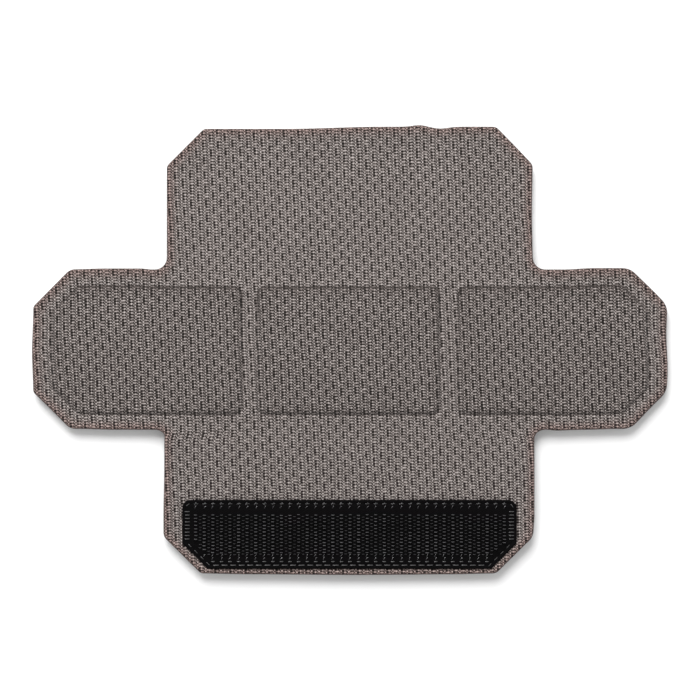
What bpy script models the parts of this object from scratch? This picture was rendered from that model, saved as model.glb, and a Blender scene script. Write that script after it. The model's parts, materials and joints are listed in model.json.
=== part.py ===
"""Wrap-round back pad for a strap: a cross-shaped laminate of knit, foam and lining that lies flat, face up.

Three foam cushions stand under the knit in a band across the middle. The upper and the lower flap fold
forward over them round the two edges of a strap, and the hook tape on the lower flap grips the lining of the
upper one. The laminate is one continuous sheet. It is divided here only at its fold lines, so that each part
can turn. Units are metres, +Z is up out of the knit face, +Y points to the upper flap, and the origin is the
middle of the underside.
"""

import math

import bmesh
import bpy
from mathutils import Matrix, Vector

# Outline of the sheet
WING_HALF_WIDTH = 0.1164
FLAP_HALF_WIDTH = 0.0672
BAND_HALF_HEIGHT = 0.0294
UPPER_FLAP_LENGTH = 0.0516
LOWER_FLAP_LENGTH = 0.0530
CORNER_CUT = 0.0136
CUT_RADIUS = 0.0025
INNER_CORNER_RADIUS = 0.0044

# Layers, from the lining up
GAP = 0.0003
LINING_THICKNESS = 0.0009
FOAM_THICKNESS = 0.0015
FACE_THICKNESS = 0.0007
CUSHION_THICKNESS = 0.0016

# Raised cushions
CUSHION_HALF_HEIGHT = 0.0235
MIDDLE_HALF_WIDTH = 0.0340
SIDE_INNER_X = 0.0394
SIDE_OUTER_X = 0.1096
SIDE_CUT = 0.0096
CUSHION_RADIUS = 0.0033
SIDE_CUT_RADIUS = 0.0015
CROWN_BEVEL = 0.0009

# Hook tape: a standard 25 mm tape
TAPE_HEIGHT = 0.0250
TAPE_HALF_WIDTH = 0.0611
TAPE_EDGE_MARGIN = 0.0020
TAPE_CUT = 0.0094
TAPE_RADIUS = 0.0030
TAPE_CUT_RADIUS = 0.0010
TAPE_BASE = 0.0006
HOOK_HEIGHT = 0.0013
HOOK_BORDER = 0.0042
HOOK_PITCH = 0.00314
HOOK_GROOVE = 0.0011
GROOVE_FLOOR = 0.0004

# Thread of the seam round the tape
SEAM_INSET = 0.0016
NEEDLE_THREAD_RADIUS = 0.0002
BOBBIN_THREAD_RADIUS = 0.00015
BOBBIN_LIFT = 0.00005
SEAM_GROOVE_HALF_WIDTH = 0.00045

# Folds
STRAP_ROOM = 0.0025
LOWER_CREASE = 0.0080
WING_FOLD_X = 0.0840

# Making of the solids: steps in a corner's arc, how far a cutter stands past what it cuts, and the distance
# within which the points of a curve's cap and side are one
ARC_STEPS = 6
OVERSIZE = 0.02
WELD_DISTANCE = 0.000001
EDGE_ANGLE = math.radians(60)
FRAME_SIZE = 0.01

# Heights
FOAM_BOTTOM = LINING_THICKNESS + GAP
FACE_BOTTOM = FOAM_BOTTOM + FOAM_THICKNESS + GAP
FACE_TOP = FACE_BOTTOM + FACE_THICKNESS
CUSHION_TOP = FACE_BOTTOM + CUSHION_THICKNESS
CROWN_TOP = CUSHION_TOP + GAP + FACE_THICKNESS
TAPE_BOTTOM = FACE_TOP + GAP
TAPE_TOP = TAPE_BOTTOM + TAPE_BASE
HOOK_TOP = TAPE_TOP + HOOK_HEIGHT

# Places along Y: the band's middle lies a little above the middle of the whole outline
BAND_Y = (LOWER_FLAP_LENGTH - UPPER_FLAP_LENGTH) / 2
BAND_TOP = BAND_Y + BAND_HALF_HEIGHT
BAND_BOTTOM = BAND_Y - BAND_HALF_HEIGHT
SHEET_TOP = BAND_TOP + UPPER_FLAP_LENGTH
SHEET_BOTTOM = BAND_BOTTOM - LOWER_FLAP_LENGTH
TAPE_LOW_Y = SHEET_BOTTOM + TAPE_EDGE_MARGIN
TAPE_HIGH_Y = TAPE_LOW_Y + TAPE_HEIGHT

# A flap turns twice through a right angle, once at each edge of the strip that passes the strap's edge.
# The upper strip is as wide as the cushions' crown and the strap are high. The lower one also clears the
# folded upper flap and its own hooks.
UPPER_STRIP = CROWN_TOP + STRAP_ROOM - FACE_TOP
FOLDED_LINING = FACE_TOP + UPPER_STRIP + FACE_TOP
LOWER_STRIP = FOLDED_LINING + GAP + (HOOK_TOP - FACE_TOP) - FACE_TOP
UPPER_CREASE_Y = BAND_TOP + UPPER_STRIP / 2
UPPER_FLAP_Y = UPPER_CREASE_Y + UPPER_STRIP
LOWER_CREASE_Y = BAND_BOTTOM - LOWER_CREASE / 2
LOWER_FLAP_Y = LOWER_CREASE_Y - LOWER_STRIP

KNIT = ("knit_face", (0.200, 0.172, 0.163), 0.85)
FOAM = ("pad_foam", (0.050, 0.048, 0.047), 0.90)
LINING = ("loop_lining", (0.110, 0.096, 0.090), 0.95)
TAPE = ("hook_tape", (0.012, 0.012, 0.013), 0.45)
THREAD = ("seam_thread", (0.010, 0.010, 0.011), 0.50)


def clear_scene():
    for obj in list(bpy.data.objects):
        bpy.data.objects.remove(obj, do_unlink=True)


def new_collection(name):
    collection = bpy.data.collections.new(name)
    bpy.context.scene.collection.children.link(collection)
    return collection


def material(finish):
    """The material of that name, colour and roughness, made the first time it is asked for."""
    name, colour, roughness = finish
    made = bpy.data.materials.get(name)
    if made is None:
        made = bpy.data.materials.new(name)
        made.use_nodes = True
        shader = made.node_tree.nodes["Principled BSDF"]
        shader.inputs["Base Color"].default_value = (*colour, 1.0)
        shader.inputs["Roughness"].default_value = roughness
        shader.inputs["Metallic"].default_value = 0.0
        made.diffuse_color = (*colour, 1.0)
    return made


# Outlines


def rounded(corners):
    """Points round a closed outline whose corners (x, y, radius) are each turned by an arc."""
    points = []
    for i, (x, y, radius) in enumerate(corners):
        corner = Vector((x, y))
        before = (Vector(corners[i - 1][:2]) - corner).normalized()
        after = (Vector(corners[(i + 1) % len(corners)][:2]) - corner).normalized()
        half_angle = before.angle(after) / 2
        centre = corner + (before + after).normalized() * radius / math.sin(half_angle)
        start = corner + before * radius / math.tan(half_angle) - centre
        end = corner + after * radius / math.tan(half_angle) - centre
        turn = start.angle_signed(end)
        for step in range(ARC_STEPS + 1):
            part_turn = Matrix.Rotation(-turn * step / ARC_STEPS, 2)
            points.append(centre + part_turn @ start)
    return points


def both_sides(half):
    """Adds the mirror image of a right-hand row of corners, so that they run on round the left side."""
    return half + [(-x, y, radius) for x, y, radius in reversed(half)]


def sheet_outline():
    cut = CORNER_CUT
    right = [
        (FLAP_HALF_WIDTH - cut, SHEET_TOP, CUT_RADIUS),
        (FLAP_HALF_WIDTH, SHEET_TOP - cut, CUT_RADIUS),
        (FLAP_HALF_WIDTH, BAND_TOP, INNER_CORNER_RADIUS),
        (WING_HALF_WIDTH - cut, BAND_TOP, CUT_RADIUS),
        (WING_HALF_WIDTH, BAND_TOP - cut, CUT_RADIUS),
        (WING_HALF_WIDTH, BAND_BOTTOM + cut, CUT_RADIUS),
        (WING_HALF_WIDTH - cut, BAND_BOTTOM, CUT_RADIUS),
        (FLAP_HALF_WIDTH, BAND_BOTTOM, INNER_CORNER_RADIUS),
        (FLAP_HALF_WIDTH, SHEET_BOTTOM + cut, CUT_RADIUS),
        (FLAP_HALF_WIDTH - cut, SHEET_BOTTOM, CUT_RADIUS),
    ]
    return rounded(both_sides(right))


def middle_outline(inset):
    x = MIDDLE_HALF_WIDTH - inset
    y = CUSHION_HALF_HEIGHT - inset
    radius = CUSHION_RADIUS - inset
    return rounded(both_sides([(x, BAND_Y + y, radius), (x, BAND_Y - y, radius)]))


def side_outline(inset, side):
    """The left (side -1) or right (side +1) cushion, with its two outer corners cut off."""
    inner = SIDE_INNER_X + inset
    outer = SIDE_OUTER_X - inset
    y = CUSHION_HALF_HEIGHT - inset
    cut = SIDE_CUT - inset * (2 - math.sqrt(2))
    corners = [
        (inner, BAND_Y + y, CUSHION_RADIUS - inset),
        (outer - cut, BAND_Y + y, SIDE_CUT_RADIUS),
        (outer, BAND_Y + y - cut, SIDE_CUT_RADIUS),
        (outer, BAND_Y - y + cut, SIDE_CUT_RADIUS),
        (outer - cut, BAND_Y - y, SIDE_CUT_RADIUS),
        (inner, BAND_Y - y, CUSHION_RADIUS - inset),
    ]
    points = rounded(corners)
    return [Vector((side * p.x, p.y)) for p in points]


def cushion_outlines(inset):
    return {
        "left": side_outline(inset, -1),
        "middle": middle_outline(inset),
        "right": side_outline(inset, 1),
    }


def tape_outline(inset):
    x = TAPE_HALF_WIDTH - inset
    cut = TAPE_CUT - inset * (2 - math.sqrt(2))
    top_radius = max(TAPE_RADIUS - inset, TAPE_CUT_RADIUS)
    right = [
        (x, TAPE_HIGH_Y - inset, top_radius),
        (x, TAPE_LOW_Y + inset + cut, TAPE_CUT_RADIUS),
        (x - cut, TAPE_LOW_Y + inset, TAPE_CUT_RADIUS),
    ]
    return rounded(both_sides(right))


# Solids


def weld(mesh):
    work = bmesh.new()
    work.from_mesh(mesh)
    bmesh.ops.remove_doubles(work, verts=work.verts, dist=WELD_DISTANCE)
    work.to_mesh(mesh)
    work.free()


def to_mesh(obj):
    """The mesh of an object as it stands, with its modifiers, in world space. The object is removed."""
    bpy.context.view_layer.update()
    evaluated = obj.evaluated_get(bpy.context.evaluated_depsgraph_get())
    mesh = bpy.data.meshes.new_from_object(evaluated)
    mesh.transform(obj.matrix_world)
    bpy.data.objects.remove(obj, do_unlink=True)
    weld(mesh)
    return mesh


def outline_curve(name, outlines, dimensions):
    curve = bpy.data.curves.new(name, "CURVE")
    curve.dimensions = dimensions
    for outline in outlines:
        spline = curve.splines.new("POLY")
        spline.points.add(len(outline) - 1)
        for point, place in zip(spline.points, outline):
            point.co = (place.x, place.y, 0.0, 1.0)
        spline.use_cyclic_u = True
    return curve


def plate(name, outlines, low, high, collection):
    """A flat plate between two heights. A second outline inside the first one is a hole."""
    curve = outline_curve(name, outlines, "2D")
    curve.fill_mode = "BOTH"
    curve.extrude = (high - low) / 2
    flat = bpy.data.objects.new(name, curve)
    bpy.context.scene.collection.objects.link(flat)
    flat.location.z = (low + high) / 2
    obj = bpy.data.objects.new(name, to_mesh(flat))
    collection.objects.link(obj)
    return obj


def box(name, low, high, collection):
    bpy.ops.mesh.primitive_cube_add(size=1.0, location=(Vector(low) + Vector(high)) / 2)
    obj = bpy.context.object
    obj.name = name
    obj.scale = Vector(high) - Vector(low)
    bpy.ops.object.transform_apply(location=False, rotation=False, scale=True)
    for linked in list(obj.users_collection):
        linked.objects.unlink(obj)
    collection.objects.link(obj)
    return obj


def as_cutter(obj):
    obj.hide_render = True
    obj.display_type = "WIRE"
    return obj


def boolean(obj, operation, other):
    modifier = obj.modifiers.new(operation.lower(), "BOOLEAN")
    modifier.operation = operation
    modifier.solver = "EXACT"
    modifier.object = other


def bevel(obj, width):
    modifier = obj.modifiers.new("crown", "BEVEL")
    modifier.width = width
    modifier.segments = 2
    modifier.limit_method = "ANGLE"
    modifier.angle_limit = EDGE_ANGLE


def ring(name, outline, height, radius, collection):
    """A closed loop of thread lying at one height."""
    curve = outline_curve(name, [outline], "3D")
    curve.bevel_depth = radius
    curve.bevel_resolution = 2
    obj = bpy.data.objects.new(name, curve)
    obj.location.z = height
    collection.objects.link(obj)
    return obj


# Bodies: where each one turns, and the part of the sheet that it takes


def bodies():
    """Each body's parent, the place of its fold's axis, and the rectangle of the sheet that it holds.

    A rectangle is its lowest and highest X, then its lowest and highest Y.
    """
    slit = GAP / 2
    far = WING_HALF_WIDTH + OVERSIZE
    wing = WING_FOLD_X
    upper, upper_end = UPPER_CREASE_Y, UPPER_FLAP_Y
    lower, lower_end = LOWER_CREASE_Y, LOWER_FLAP_Y
    middle = (-wing + slit, wing - slit, lower + slit, upper - slit)
    return {
        "centre": (None, (0, 0, 0), middle),
        "upper_fold": ("centre", (0, upper, FACE_TOP), (-far, far, upper + slit, upper_end - slit)),
        "upper_flap": ("upper_fold", (0, upper_end, FACE_TOP), (-far, far, upper_end + slit, far)),
        "lower_fold": ("centre", (0, lower, FACE_TOP), (-far, far, lower_end + slit, lower - slit)),
        "lower_flap": ("lower_fold", (0, lower_end, FACE_TOP), (-far, far, -far, lower_end - slit)),
        "left_wing": ("centre", (-wing, BAND_Y, CROWN_TOP), (-far, -wing - slit, -far, far)),
        "right_wing": ("centre", (wing, BAND_Y, CROWN_TOP), (wing + slit, far, -far, far)),
    }


def make_frames(plan):
    """An empty on each body's axis, which carries the body's pieces."""
    frames = {}
    for name, (parent, pivot, _) in plan.items():
        frame = bpy.data.objects.new("frame_" + name, None)
        frame.empty_display_size = FRAME_SIZE
        bpy.context.scene.collection.objects.link(frame)
        frame.location = pivot
        if parent:
            frame.parent = frames[parent]
            frame.location = Vector(pivot) - Vector(plan[parent][1])
        frames[name] = frame
    return frames


def mount_on(obj, frame, pivot):
    obj.parent = frame
    obj.location = obj.location - Vector(pivot)


def piece_of(name, mesh, region, finish, parts):
    """The part of a whole layer or cushion that lies in one body's region."""
    obj = bpy.data.objects.new(name, mesh)
    parts.objects.link(obj)
    boolean(obj, "INTERSECT", region)
    if not mesh.materials:
        mesh.materials.append(material(finish))
    return obj


# Layers


def face_mesh(work):
    """The knit: a flat sheet with a hollow crown over each cushion."""
    lower = FACE_BOTTOM - 2 * CROWN_BEVEL
    face = plate("face", [sheet_outline()], lower, FACE_TOP, work)
    for side, outline in cushion_outlines(0.0).items():
        crown = plate("crown_" + side, [outline], lower, CROWN_TOP, work)
        bevel(crown, CROWN_BEVEL)
        boolean(face, "UNION", crown)
    for side, outline in cushion_outlines(FACE_THICKNESS).items():
        pocket = plate("pocket_" + side, [outline], lower - GAP, CUSHION_TOP + GAP, work)
        boolean(face, "DIFFERENCE", pocket)
    reach = WING_HALF_WIDTH + OVERSIZE
    under = box("under_face", (-reach, -reach, lower - OVERSIZE), (reach, reach, FACE_BOTTOM), work)
    boolean(face, "DIFFERENCE", under)
    return to_mesh(face)


def layer_meshes(work):
    lining = plate("lining", [sheet_outline()], 0.0, LINING_THICKNESS, work)
    foam = plate("foam", [sheet_outline()], FOAM_BOTTOM, FOAM_BOTTOM + FOAM_THICKNESS, work)
    return {
        "lining": (to_mesh(lining), LINING),
        "foam": (to_mesh(foam), FOAM),
        "face": (face_mesh(work), KNIT),
    }


def cushion_meshes(work):
    meshes = {}
    for side, outline in cushion_outlines(FACE_THICKNESS + GAP).items():
        meshes[side] = to_mesh(plate("foam_" + side, [outline], FACE_BOTTOM, CUSHION_TOP, work))
    return meshes


# Hook tape and its seam


def hook_grooves(work):
    """The clear lines between the rows of hooks."""
    count = 2 * int((TAPE_HALF_WIDTH - HOOK_BORDER) / HOOK_PITCH)
    first = -HOOK_PITCH * (count - 1) / 2
    low = (first - HOOK_GROOVE / 2, TAPE_LOW_Y - GAP, TAPE_TOP + GROOVE_FLOOR)
    high = (first + HOOK_GROOVE / 2, TAPE_HIGH_Y + GAP, HOOK_TOP + GAP)
    grooves = box("hook_grooves", low, high, work)
    array = grooves.modifiers.new("rows", "ARRAY")
    array.count = count
    array.use_relative_offset = False
    array.use_constant_offset = True
    array.constant_offset_displace = (HOOK_PITCH, 0.0, 0.0)
    return as_cutter(grooves)


def make_hook_tape(parts, work):
    tape = plate("hook_tape", [tape_outline(0.0)], TAPE_BOTTOM, TAPE_TOP, parts)
    rooted = (TAPE_BOTTOM + TAPE_TOP) / 2
    field = as_cutter(plate("hook_field", [tape_outline(HOOK_BORDER)], rooted, HOOK_TOP, work))
    boolean(tape, "UNION", field)
    boolean(tape, "DIFFERENCE", hook_grooves(work))
    tape.data.materials.append(material(TAPE))
    return tape


def make_threads(parts, lining, work):
    """The needle thread lies on the tape, and the bobbin thread in the groove it pulls into the lining."""
    seam = tape_outline(SEAM_INSET)
    needle_height = TAPE_TOP + GAP + NEEDLE_THREAD_RADIUS
    needle = ring("needle_thread", seam, needle_height, NEEDLE_THREAD_RADIUS, parts)
    bobbin_height = BOBBIN_LIFT + BOBBIN_THREAD_RADIUS
    bobbin = ring("bobbin_thread", seam, bobbin_height, BOBBIN_THREAD_RADIUS, parts)
    for thread in (needle, bobbin):
        thread.data.materials.append(material(THREAD))
    edges = [
        tape_outline(SEAM_INSET - SEAM_GROOVE_HALF_WIDTH),
        tape_outline(SEAM_INSET + SEAM_GROOVE_HALF_WIDTH),
    ]
    roof = bobbin_height + BOBBIN_THREAD_RADIUS + GAP
    boolean(lining, "DIFFERENCE", as_cutter(plate("seam_groove", edges, -GAP, roof, work)))
    return [needle, bobbin]


def main():
    clear_scene()
    parts = new_collection("strap_back_pad")
    work = new_collection("cutters")
    plan = bodies()
    frames = make_frames(plan)
    layers = layer_meshes(work)
    cushions = cushion_meshes(work)
    for leftover in list(work.objects):
        bpy.data.objects.remove(leftover, do_unlink=True)

    held = {name: [] for name in plan}
    for body, (_, _, (x0, x1, y0, y1)) in plan.items():
        region = as_cutter(box("region_" + body, (x0, y0, -OVERSIZE), (x1, y1, OVERSIZE), work))
        for layer, (mesh, finish) in layers.items():
            held[body].append(piece_of(layer + "_" + body, mesh, region, finish, parts))
        if body == "centre":
            for side, mesh in cushions.items():
                held[body].append(piece_of("cushion_" + side, mesh, region, FOAM, parts))
        if body.endswith("wing"):
            side = body.split("_")[0]
            held[body].append(piece_of("cushion_" + body, cushions[side], region, FOAM, parts))

    lining = next(obj for obj in held["lower_flap"] if obj.name == "lining_lower_flap")
    held["lower_flap"].append(make_hook_tape(parts, work))
    held["lower_flap"].extend(make_threads(parts, lining, work))

    for body, (_, pivot, _) in plan.items():
        for obj in held[body]:
            mount_on(obj, frames[body], pivot)


main()
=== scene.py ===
"""Looks of the strap back pad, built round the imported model.

The pad is one cut laminate: an open knit over thin foam, with a loop lining behind. Its surface is one
height field over the flat cut, triangulated once and divided at the fold lines, so that neighbouring pieces
share their edge points. Lengths are metres. The fabric's own coordinates, in its UV map, are millimetres on
the cut.
"""

import json
import math

import bmesh
import bpy
import numpy as np
from mathutils import Matrix, Vector, kdtree
from mathutils.geometry import delaunay_2d_cdt


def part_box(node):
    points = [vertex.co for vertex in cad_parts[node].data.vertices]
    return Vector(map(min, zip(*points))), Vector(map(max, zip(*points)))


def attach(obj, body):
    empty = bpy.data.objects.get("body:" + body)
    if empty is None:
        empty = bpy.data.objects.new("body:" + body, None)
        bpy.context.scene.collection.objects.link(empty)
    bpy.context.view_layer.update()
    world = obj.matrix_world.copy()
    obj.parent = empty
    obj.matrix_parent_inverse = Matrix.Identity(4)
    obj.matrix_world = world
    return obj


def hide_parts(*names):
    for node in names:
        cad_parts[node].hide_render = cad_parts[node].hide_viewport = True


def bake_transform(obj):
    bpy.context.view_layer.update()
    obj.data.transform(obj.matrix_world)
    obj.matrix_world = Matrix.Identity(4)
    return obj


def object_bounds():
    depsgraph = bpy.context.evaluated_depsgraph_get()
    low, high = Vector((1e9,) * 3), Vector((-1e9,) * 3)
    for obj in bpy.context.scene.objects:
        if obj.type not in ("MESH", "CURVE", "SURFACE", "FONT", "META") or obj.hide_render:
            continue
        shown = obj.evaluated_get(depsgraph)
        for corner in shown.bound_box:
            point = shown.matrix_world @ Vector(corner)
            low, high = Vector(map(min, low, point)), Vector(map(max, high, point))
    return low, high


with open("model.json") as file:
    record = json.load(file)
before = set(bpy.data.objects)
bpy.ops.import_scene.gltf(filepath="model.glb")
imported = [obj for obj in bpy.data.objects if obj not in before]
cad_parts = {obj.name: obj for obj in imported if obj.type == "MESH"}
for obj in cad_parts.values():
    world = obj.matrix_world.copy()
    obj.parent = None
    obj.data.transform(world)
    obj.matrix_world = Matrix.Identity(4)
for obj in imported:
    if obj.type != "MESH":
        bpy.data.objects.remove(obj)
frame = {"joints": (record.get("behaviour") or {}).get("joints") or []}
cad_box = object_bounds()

MM = 0.001

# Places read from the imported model
SHEET_LOW, SHEET_HIGH = cad_box
WING_LOW, WING_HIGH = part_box("face_right_wing")
FLAP_LOW, FLAP_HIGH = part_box("face_upper_flap")
TAPE_LOW, TAPE_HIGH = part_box("hook_tape")
MIDDLE_LOW, MIDDLE_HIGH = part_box("cushion_middle")
SIDE_LOW, SIDE_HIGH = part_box("cushion_right")
TIP_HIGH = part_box("cushion_right_wing")[1]
LINING_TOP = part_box("lining_centre")[1].z
FACE_TOP = FLAP_HIGH.z
KNIT_THICKNESS = FLAP_HIGH.z - FLAP_LOW.z
JOINTS = {joint["name"]: joint for joint in frame["joints"]}

# Outline sizes
CORNER_CUT = 13.6 * MM
INNER_RADIUS = 4.4 * MM
CUSHION_WALL = 1.0 * MM
CUSHION_RADIUS = 3.3 * MM
SIDE_CUT = 9.6 * MM
TAPE_CUT = 9.4 * MM
TAPE_RADIUS = 3.0 * MM
TAPE_CUT_RADIUS = 1.8 * MM
SMALLEST_RADIUS = 0.1 * MM

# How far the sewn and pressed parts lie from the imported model's even places
TAPE_RAISE = 0.25 * MM
TAPE_REACH = 0.40 * MM
PANEL_DROP = 0.42 * MM
MIDDLE_RIGHT_IN = 0.85 * MM
MIDDLE_LEFT_OUT = 0.25 * MM

# Fold strips: where the bend starts and ends, and where one piece hands over to the next
BAND_TOP = WING_HIGH.y
BAND_BOTTOM = WING_LOW.y
UPPER_FOLD_Y = JOINTS["upper_flap_fold"]["pos_m"][1]
UPPER_TURN_Y = JOINTS["upper_flap_turn"]["pos_m"][1]
LOWER_FOLD_Y = JOINTS["lower_flap_fold"]["pos_m"][1]
LOWER_TURN_Y = JOINTS["lower_flap_turn"]["pos_m"][1]
WING_BEND_X = JOINTS["right_wing_bend"]["pos_m"][0]
UPPER_HALF_STRIP = UPPER_FOLD_Y - BAND_TOP
LOWER_HALF_STRIP = BAND_BOTTOM - LOWER_FOLD_Y
WING_HALF_STRIP = 12 * MM
UPPER_SEAM_Y = (UPPER_FOLD_Y + UPPER_TURN_Y) / 2
LOWER_SEAM_Y = (LOWER_FOLD_Y + LOWER_TURN_Y) / 2
WING_SEAM_X = WING_BEND_X - WING_HALF_STRIP

# Surface relief
RIM_DROP = 0.70 * MM
RIM_WIDTH = 1.3 * MM
CURL = 0.9 * MM
CURL_WIDTH = 14 * MM
CREASE_DEPTH = 0.38 * MM
CREASE_WIDTH = 0.42 * MM
CREASE_PLACE = 0.25 * MM
LIP = 0.12 * MM
LIP_PLACE = 0.9 * MM
LIP_WIDTH = 0.6 * MM
RAISE = 1.15 * MM
SHOULDER = 3.0 * MM
DOME = 0.45 * MM
TAPE_PRESS = 0.25 * MM
TAPE_PRESS_START = -1.2 * MM
TAPE_PRESS_END = 0.4 * MM
SEAM_PULL = 0.35 * MM
SEAM_PULL_WIDTH = 0.55 * MM
LINING_ROUND = 0.2 * MM
SWELL = 0.10 * MM
STITCH_INSET = 1.4 * MM
SNUG = 0.02 * MM

# Meshes: the grid's step, the rings round each outline in mm, the room kept round their points and rows,
# and the turn past which an edge shades sharp
GRID = 2.2 * MM
LOOP_STEP = 1.6 * MM
TAPE_LOOP_STEP = 0.8 * MM
STRIP_ROWS = 9
ARC_STEPS = 9
CLEARANCE = 0.45
STRIP_CLEARANCE = 0.35
SHEET_RINGS = (0, 0.2, 0.55, 1.0, RIM_WIDTH / MM)
CUSHION_RINGS = (-1.8, -1.1, -0.6, -0.2, 0.1, 0.4, 0.8, 1.4, 2.1, SHOULDER / MM, 5.5)
UNDER_TAPE_RINGS = (-1.2, -0.4, 0.4, 1.05, 1.6, 2.15)
TAPE_RINGS = (0, 0.12, 0.35, 0.8, 1.1, 1.4, 1.7, 2.1)
TAPE_FIELD_INSET = 2.3 * MM
ROW_ROOM = 0.3
CDT_TOLERANCE = 1e-4
SMALLEST_AREA = 1e-12
SHARP_TURN = math.radians(50)

# Laminate: the room over the lining, and where the core and the pads stop inside their outlines
LINING_GAP = 0.05 * MM
CORE_INSET = 0.1 * MM
PAD_INSET = 0.6 * MM

# Knit: the columns' and rows' pitch and the repeat of the dark groups in mm, the columns' tilt, how far the
# rows step from one column to the next, and how far the loops stand beside the holes, as shares of a pitch
WALE = 2.70
COURSE = 1.06
REPEAT = 5.30
KNIT_TILT = math.radians(3.0)
COURSE_STEP = 0.37
LOOP_SHIFT = 0.24

# Hook tape: its body, its ribs and its rows and columns of hooks
TAPE_THICKNESS = 0.70 * MM
TAPE_ROUND = 0.35 * MM
GROOVE_DEPTH = 0.16 * MM
GROOVE_WIDTH = 0.35 * MM
RIB_HEIGHT = 0.12 * MM
HOOK_PITCH = 3.14 * MM
ROW_PITCH = 1.25 * MM
HOOK_ROWS = 12
COLUMNS_A_SIDE = 18
TOP_ROW_INSET = 5.2 * MM
HOOK_ROOM = 3.7 * MM
HOOK_HEIGHT = 1.35 * MM
CROSS_HOOK_HEIGHT = 1.05 * MM
CROSS_HOOK_RADIUS = 0.07 * MM
CROSS_HOOK_SHIFT = 2.10 * MM
HOOK_SHIFT = -0.45 * MM
HOOK_REACH = 0.50 * MM
HOOK_TIP = 0.22 * MM
THINNEST_WIRE = 0.13
THICKEST_WIRE = 0.20
HOOK_STRAY = 0.07
PRESSED_LENGTH = 1.04 * MM
PRESSED_RADIUS = 0.11 * MM
PRESSED_SLANT = 0.9
PRESSED_BOW = 0.2 * MM
PRESSED_RISE = 0.10 * MM

# Seams: one stitch to a column of hooks, and the length of each kind of stitch
STITCH_PITCH = HOOK_PITCH
EDGE_STITCH = 1.5 * MM
LOWER_STITCH = 2.1 * MM
SECOND_STITCH = 1.3 * MM
END_STITCH = 1.9 * MM
BOBBIN_STITCH = 2.7 * MM
STITCH_DIP = 0.12 * MM
SECOND_SEAM_INSET = 2.70 * MM
SECOND_SEAM_SIDE = 16
END_STITCH_INSET = 1.9 * MM
END_STITCH_START = 4.0 * MM
END_STITCHES = 9

# Floor, light and camera
FLOOR_HALF = 3.0
FLOOR_DROP = 0.15 * MM
SKY_LOW = 1.10
SKY_HIGH = 0.42
KEY_PLACE = (-0.24, 0.94, 0.86)
KEY_SIZE = 1.05
KEY_POWER = 25
LENS = 100
SENSOR_WIDTH = 36
FRAME_WIDTH = 256.9 * MM
CAMERA_Y = 0.55 * MM


# Outlines


def moved_in(corners, inset):
    """A clockwise row of corners (x, y, radius) moved inwards, each arc keeping its centre."""
    moved = []
    for i, (x, y, radius) in enumerate(corners):
        here = Vector((x, y))
        along = (here - Vector(corners[i - 1][:2])).normalized()
        onward = (Vector(corners[(i + 1) % len(corners)][:2]) - here).normalized()
        inward = Vector((along.y, -along.x))
        inward_next = Vector((onward.y, -onward.x))
        place = here + (inward + inward_next) * inset / (1 + inward.dot(inward_next))
        convex = along.x * onward.y - along.y * onward.x < 0
        turned = radius - inset if convex else radius + inset
        moved.append((place.x, place.y, max(turned, SMALLEST_RADIUS)))
    return moved


def rounded(corners):
    """Points round a closed outline whose corners (x, y, radius) are each turned by an arc."""
    points = []
    for i, (x, y, radius) in enumerate(corners):
        corner = Vector((x, y))
        before = (Vector(corners[i - 1][:2]) - corner).normalized()
        after = (Vector(corners[(i + 1) % len(corners)][:2]) - corner).normalized()
        half_angle = before.angle(after) / 2
        centre = corner + (before + after).normalized() * radius / math.sin(half_angle)
        start = corner + before * radius / math.tan(half_angle) - centre
        end = corner + after * radius / math.tan(half_angle) - centre
        turn = start.angle_signed(end)
        for step in range(ARC_STEPS + 1):
            part_turn = Matrix.Rotation(-turn * step / ARC_STEPS, 2)
            points.append(tuple(centre + part_turn @ start))
    return np.array(points)


def resampled(points, step):
    """The closed outline with extra points, so that no stretch is longer than step."""
    found = []
    for a, b in zip(points, np.roll(points, -1, axis=0)):
        pieces = max(1, math.ceil(np.linalg.norm(b - a) / step))
        for i in range(pieces):
            found.append(a + (b - a) * i / pieces)
    return np.array(found)


def mirrored(right, left):
    """A clockwise row of corners from its right half, and a left half written in the same way."""
    return right + [(-x, y, radius) for x, y, radius in reversed(left)]


def sheet_half(wing_radius, tip_radius, flap_radius):
    """The sheet's right half from top to bottom: flap, wing, flap."""
    flap = FLAP_HIGH.x
    wing = WING_HIGH.x
    cut = CORNER_CUT
    inner = INNER_RADIUS
    return [
        (flap - cut, SHEET_HIGH.y, flap_radius),
        (flap, SHEET_HIGH.y - cut, flap_radius),
        (flap, BAND_TOP, inner),
        (wing - cut, BAND_TOP, wing_radius),
        (wing, BAND_TOP - cut, tip_radius),
        (wing, BAND_BOTTOM + cut, tip_radius),
        (wing - cut, BAND_BOTTOM, wing_radius),
        (flap, BAND_BOTTOM, inner),
        (flap, SHEET_LOW.y + cut, 1.6 * flap_radius),
        (flap - cut, SHEET_LOW.y, flap_radius),
    ]


SHEET = mirrored(
    sheet_half(wing_radius=7 * MM, tip_radius=7 * MM, flap_radius=3 * MM),
    sheet_half(wing_radius=5 * MM, tip_radius=2.5 * MM, flap_radius=2.5 * MM),
)


def middle_cushion():
    """The middle cushion's outline, whose right end stands a little in and whose left end a little out."""
    x = MIDDLE_HIGH.x + CUSHION_WALL
    low = MIDDLE_LOW.y - CUSHION_WALL - PANEL_DROP
    high = MIDDLE_HIGH.y + CUSHION_WALL - PANEL_DROP
    ends = (x - MIDDLE_RIGHT_IN, x + MIDDLE_LEFT_OUT)
    right, left = ([(end, high, CUSHION_RADIUS), (end, low, CUSHION_RADIUS)] for end in ends)
    return mirrored(right, left)


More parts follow.
